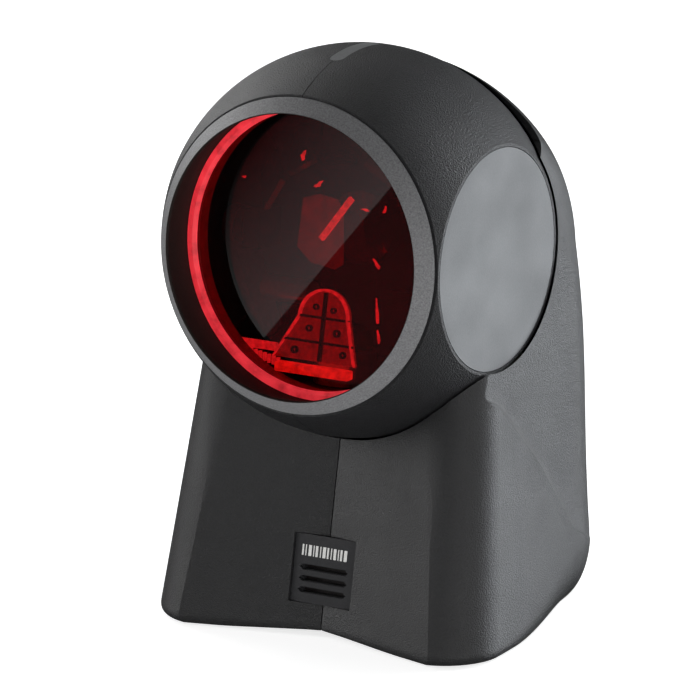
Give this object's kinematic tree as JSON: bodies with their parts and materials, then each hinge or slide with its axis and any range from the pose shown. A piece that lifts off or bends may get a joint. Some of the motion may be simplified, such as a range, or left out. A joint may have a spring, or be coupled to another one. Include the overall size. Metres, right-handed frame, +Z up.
{
  "type": "presentation barcode scanner",
  "caption": "Counter-top omnidirectional barcode scanner: a ball-shaped scanning head that tilts in a hooded, weighted base with a speaker cover in its front.",
  "frame": {"origin": "middle of the object's footprint on the counter", "axes": "-Y is the side the scan window faces, +X is to the right seen from the front, +Z is up"},
  "size_m": [0.0984, 0.1043, 0.15],
  "materials": {
    "charcoal_shell": "fine spark-eroded grain",
    "bottom_plastic": "fine grain",
    "smooth_charcoal": "smooth, lightly frosted",
    "satin_bezel": "satin with a very fine grain",
    "cover_plastic": "smooth satin",
    "red_glass": "polished deep red filter",
    "red_ring": "polished, lit red",
    "light_pipe": "frosted clear",
    "frame_plastic": "glass-filled black",
    "red_lit_plastic": "glossy, seen red through the window",
    "mirror": "first-surface mirror",
    "steel": "plain pressed and turned steel",
    "zinc_screw": "zinc plated",
    "rubber": "moulded matte rubber",
    "circuit_board": "solder mask",
    "socket_plastic": "smooth black",
    "washer_plastic": "low-friction acetal"
  },
  "bodies": {
    "root": {"base_shell_left": "charcoal_shell", "base_shell_right": "charcoal_shell", "speaker_cover": "cover_plastic", "speaker_driver": "frame_plastic", "bottom_plate": "bottom_plastic", "ballast_weight": "steel", "foot_pad_1": "rubber", "foot_pad_2": "rubber", "foot_pad_3": "rubber", "foot_pad_4": "rubber", "plate_screw_1": "zinc_screw", "plate_screw_2": "zinc_screw", "plate_screw_3": "zinc_screw", "plate_screw_4": "zinc_screw", "cable_socket": "socket_plastic", "interface_board": "circuit_board", "pivot_arm_left": "steel", "pivot_arm_right": "steel", "friction_washer_left": "washer_plastic", "friction_washer_right": "washer_plastic"},
    "head": {"head_shell_left": "charcoal_shell", "head_shell_right": "charcoal_shell", "side_cap_left": "smooth_charcoal", "side_cap_right": "smooth_charcoal", "front_bezel": "satin_bezel", "window_retainer": "red_ring", "scan_window": "red_glass", "status_light_pipe": "light_pipe", "optics_frame": "frame_plastic", "beam_fan_bracket": "red_lit_plastic", "beam_strip_mirror": "red_lit_plastic", "pattern_mirror_1": "mirror", "pattern_mirror_2": "mirror", "pattern_mirror_3": "mirror", "pattern_mirror_4": "mirror", "pattern_mirror_5": "mirror", "collecting_mirror": "mirror", "laser_module": "steel", "photodetector": "frame_plastic", "scan_board": "circuit_board", "board_spacer_1": "steel", "board_spacer_2": "steel", "motor_housing": "steel", "pivot_pin_left": "steel", "pivot_pin_right": "steel"},
    "polygon": {"polygon_mirror": "mirror", "motor_spindle": "steel"}
  },
  "joints": [
    {"name": "head_tilt", "type": "hinge", "parent": "root", "child": "head", "pos_m": [0, -0.016, 0.1], "axis": [1, 0, 0], "range_deg": [-15, 15]},
    {"name": "polygon_spin", "type": "hinge", "parent": "head", "child": "polygon", "pos_m": [0, -0.02167, 0.0733], "axis": [0, 0.0621, 0.9981], "continuous": true}
  ]
}
